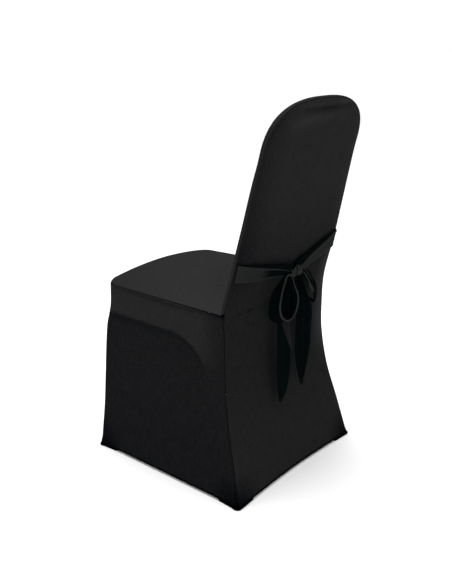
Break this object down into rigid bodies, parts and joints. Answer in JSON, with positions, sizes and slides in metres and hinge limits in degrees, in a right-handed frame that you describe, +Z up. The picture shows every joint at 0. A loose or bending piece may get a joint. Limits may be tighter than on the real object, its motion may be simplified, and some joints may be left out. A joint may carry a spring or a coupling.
{
  "type": "fitted chair cover with tie bow",
  "caption": "Fitted stretch cover for an upright banquet chair, with a crowned seat, skirts to the floor, foot pockets and ties knotted in a bow behind the back.",
  "frame": {"origin": "on the floor, under the middle of the cover", "axes": "+Z up, -Y is the way the sitter faces, +Y is the rear with the bow, +X is the sitter's left"},
  "size_m": [0.5014, 0.5387, 0.932],
  "materials": {
    "stretch_cloth": "matt black stretch knit",
    "pocket_cloth": "matt black, doubled",
    "tie_cloth": "black with a slight sheen"
  },
  "bodies": {
    "root": {"rear_panel": "stretch_cloth", "inside_back": "stretch_cloth", "seat_panel": "stretch_cloth", "left_skirt": "stretch_cloth", "right_skirt": "stretch_cloth", "front_skirt": "stretch_cloth", "left_rear_pocket": "pocket_cloth", "right_rear_pocket": "pocket_cloth", "left_front_pocket": "pocket_cloth", "right_front_pocket": "pocket_cloth", "left_tie": "tie_cloth", "right_tie": "tie_cloth"}
  },
  "joints": []
}
